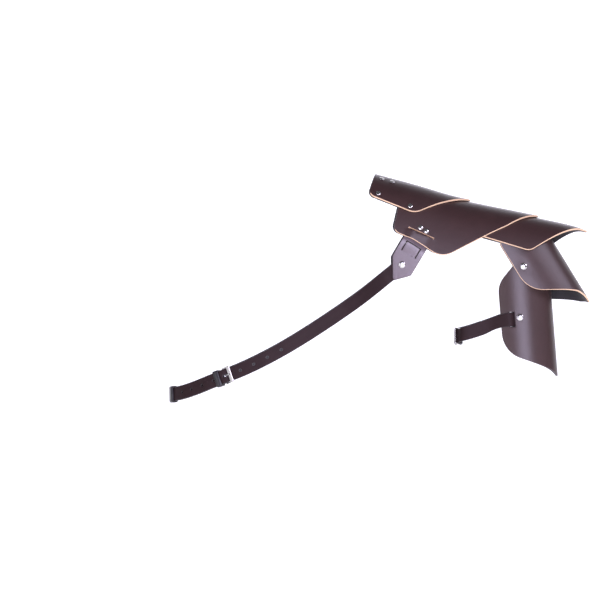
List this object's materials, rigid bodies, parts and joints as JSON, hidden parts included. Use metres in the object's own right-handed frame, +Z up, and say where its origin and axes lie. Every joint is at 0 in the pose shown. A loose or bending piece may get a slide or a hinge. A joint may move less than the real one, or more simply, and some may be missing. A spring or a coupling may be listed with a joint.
{
  "type": "pauldron",
  "caption": "Leather shoulder guard for the left shoulder: lapped plates down to a cuff round the arm, with a buckled chest strap and a buckled arm strap.",
  "frame": {"origin": "on the main plate's ridge, at the seat on top of the wearer's left shoulder", "axes": "+X outwards along the shoulder, -Y to the wearer's front, +Z up"},
  "size_m": [0.5254, 0.1932, 0.2855],
  "materials": {
    "neck_plate": "dyed dark brown, waxed, semi-gloss",
    "main_plate": "dyed dark brown, waxed, semi-gloss",
    "outer_plate": "dyed dark brown, waxed, semi-gloss",
    "upper_arm_plate": "dyed dark brown, waxed, semi-gloss",
    "lower_arm_plate": "dyed dark brown, waxed, semi-gloss",
    "front_hanger": "dyed dark brown, waxed, semi-gloss",
    "back_hanger": "dyed dark brown, waxed, semi-gloss",
    "chest_strap_billet": "dyed near-black brown, soft sheen",
    "chest_strap_back": "dyed near-black brown, soft sheen",
    "chest_keeper": "dyed near-black brown, soft sheen",
    "chest_end_keeper": "dyed near-black brown, soft sheen",
    "arm_strap_billet": "dyed near-black brown, soft sheen",
    "arm_strap_back": "dyed near-black brown, soft sheen",
    "arm_keeper": "dyed near-black brown, soft sheen",
    "front_lame_strap": "dyed near-black brown, soft sheen",
    "back_lame_strap": "dyed near-black brown, soft sheen",
    "chest_buckle_frame": "nickel-plated, polished",
    "chest_buckle_prong": "nickel-plated, polished",
    "arm_buckle_frame": "nickel-plated, polished",
    "arm_buckle_prong": "nickel-plated, polished",
    "front_rivet_neck_1": "nickel-plated, polished",
    "front_rivet_neck_2": "nickel-plated, polished",
    "front_rivet_neck_3": "nickel-plated, polished",
    "front_rivet_neck_4": "nickel-plated, polished",
    "front_rivet_hanger_head_1": "nickel-plated, polished",
    "front_rivet_hanger_head_2": "nickel-plated, polished",
    "front_rivet_elbow": "nickel-plated, polished",
    "front_rivet_arm_strap": "nickel-plated, polished",
    "front_rivet_hanger_strap": "nickel-plated, polished",
    "back_rivet_neck_1": "nickel-plated, polished",
    "back_rivet_neck_2": "nickel-plated, polished",
    "back_rivet_neck_3": "nickel-plated, polished",
    "back_rivet_neck_4": "nickel-plated, polished",
    "back_rivet_hanger_head_1": "nickel-plated, polished",
    "back_rivet_hanger_head_2": "nickel-plated, polished",
    "back_rivet_elbow": "nickel-plated, polished",
    "back_rivet_arm_strap": "nickel-plated, polished",
    "back_rivet_hanger_strap": "nickel-plated, polished",
    "front_lame_strap_pin_1": "nickel-plated, polished",
    "front_lame_strap_pin_2": "nickel-plated, polished",
    "back_lame_strap_pin_1": "nickel-plated, polished",
    "back_lame_strap_pin_2": "nickel-plated, polished"
  },
  "bodies": {
    "root": {"neck_plate": "neck_plate", "main_plate": "main_plate", "outer_plate": "outer_plate", "upper_arm_plate": "upper_arm_plate", "lower_arm_plate": "lower_arm_plate", "front_hanger": "front_hanger", "back_hanger": "back_hanger", "chest_strap_billet": "chest_strap_billet", "chest_strap_back": "chest_strap_back", "chest_keeper": "chest_keeper", "chest_end_keeper": "chest_end_keeper", "arm_strap_billet": "arm_strap_billet", "arm_strap_back": "arm_strap_back", "arm_keeper": "arm_keeper", "front_lame_strap": "front_lame_strap", "back_lame_strap": "back_lame_strap", "chest_buckle_frame": "chest_buckle_frame", "chest_buckle_prong": "chest_buckle_prong", "arm_buckle_frame": "arm_buckle_frame", "arm_buckle_prong": "arm_buckle_prong", "front_rivet_neck_1": "front_rivet_neck_1", "front_rivet_neck_2": "front_rivet_neck_2", "front_rivet_neck_3": "front_rivet_neck_3", "front_rivet_neck_4": "front_rivet_neck_4", "front_rivet_hanger_head_1": "front_rivet_hanger_head_1", "front_rivet_hanger_head_2": "front_rivet_hanger_head_2", "front_rivet_elbow": "front_rivet_elbow", "front_rivet_arm_strap": "front_rivet_arm_strap", "front_rivet_hanger_strap": "front_rivet_hanger_strap", "back_rivet_neck_1": "back_rivet_neck_1", "back_rivet_neck_2": "back_rivet_neck_2", "back_rivet_neck_3": "back_rivet_neck_3", "back_rivet_neck_4": "back_rivet_neck_4", "back_rivet_hanger_head_1": "back_rivet_hanger_head_1", "back_rivet_hanger_head_2": "back_rivet_hanger_head_2", "back_rivet_elbow": "back_rivet_elbow", "back_rivet_arm_strap": "back_rivet_arm_strap", "back_rivet_hanger_strap": "back_rivet_hanger_strap", "front_lame_strap_pin_1": "front_lame_strap_pin_1", "front_lame_strap_pin_2": "front_lame_strap_pin_2", "back_lame_strap_pin_1": "back_lame_strap_pin_1", "back_lame_strap_pin_2": "back_lame_strap_pin_2"}
  },
  "joints": []
}
